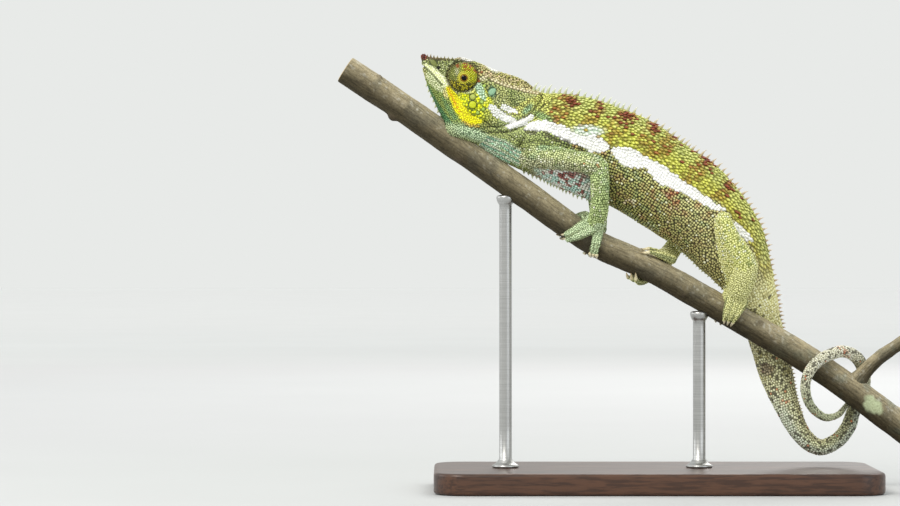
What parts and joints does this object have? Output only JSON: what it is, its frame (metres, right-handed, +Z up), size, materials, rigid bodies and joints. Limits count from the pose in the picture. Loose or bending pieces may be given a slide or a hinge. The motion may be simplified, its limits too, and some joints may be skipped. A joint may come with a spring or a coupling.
{
  "type": "panther chameleon on a branch",
  "caption": "Life-size still model of a panther chameleon climbing a cut branch, with turret eyes, tong feet and a coiled tail, held on a flat base by two rods.",
  "frame": {"origin": "middle of the underside of the stand's base", "axes": "+Z up; the head points to -X and the tail to +X; the animal's left side faces -Y and its right side +Y"},
  "size_m": [0.2785, 0.096, 0.2061],
  "materials": {
    "skin": "dry granular scales, satin",
    "eye": "wet and glossy",
    "claw": "smooth horn, semi-gloss",
    "bark": "dry finely cracked bark with pale cut ends",
    "stand_wood": "satin varnish",
    "stand_steel": "brushed"
  },
  "bodies": {
    "root": {"branch": "bark", "branch_twig": "bark", "head": "skin", "jaw": "skin", "casque": "skin", "eye_turret_left": "skin", "eyeball_left": "eye", "eye_turret_right": "skin", "eyeball_right": "eye", "neck": "skin", "trunk_front": "skin", "trunk_rear": "skin", "tail_1": "skin", "tail_2": "skin", "tail_3": "skin", "tail_4": "skin", "tail_5": "skin", "left_arm_upper": "skin", "left_arm_lower": "skin", "right_arm_upper": "skin", "right_arm_lower": "skin", "left_leg_upper": "skin", "left_leg_lower": "skin", "right_leg_upper": "skin", "right_leg_lower": "skin", "right_fore_foot": "skin", "right_fore_outer_claw_1": "claw", "right_fore_outer_claw_2": "claw", "right_fore_inner_claw_1": "claw", "right_fore_inner_claw_2": "claw", "right_fore_inner_claw_3": "claw", "left_fore_foot": "skin", "left_fore_outer_claw_1": "claw", "left_fore_outer_claw_2": "claw", "left_fore_inner_claw_1": "claw", "left_fore_inner_claw_2": "claw", "left_fore_inner_claw_3": "claw", "left_hind_foot": "skin", "left_hind_outer_claw_1": "claw", "left_hind_outer_claw_2": "claw", "left_hind_outer_claw_3": "claw", "left_hind_inner_claw_1": "claw", "left_hind_inner_claw_2": "claw", "right_hind_foot": "skin", "right_hind_outer_claw_1": "claw", "right_hind_outer_claw_2": "claw", "right_hind_outer_claw_3": "claw", "right_hind_inner_claw_1": "claw", "right_hind_inner_claw_2": "claw", "stand_base": "stand_wood", "stand_rod_1": "stand_steel", "stand_rod_2": "stand_steel"}
  },
  "joints": []
}
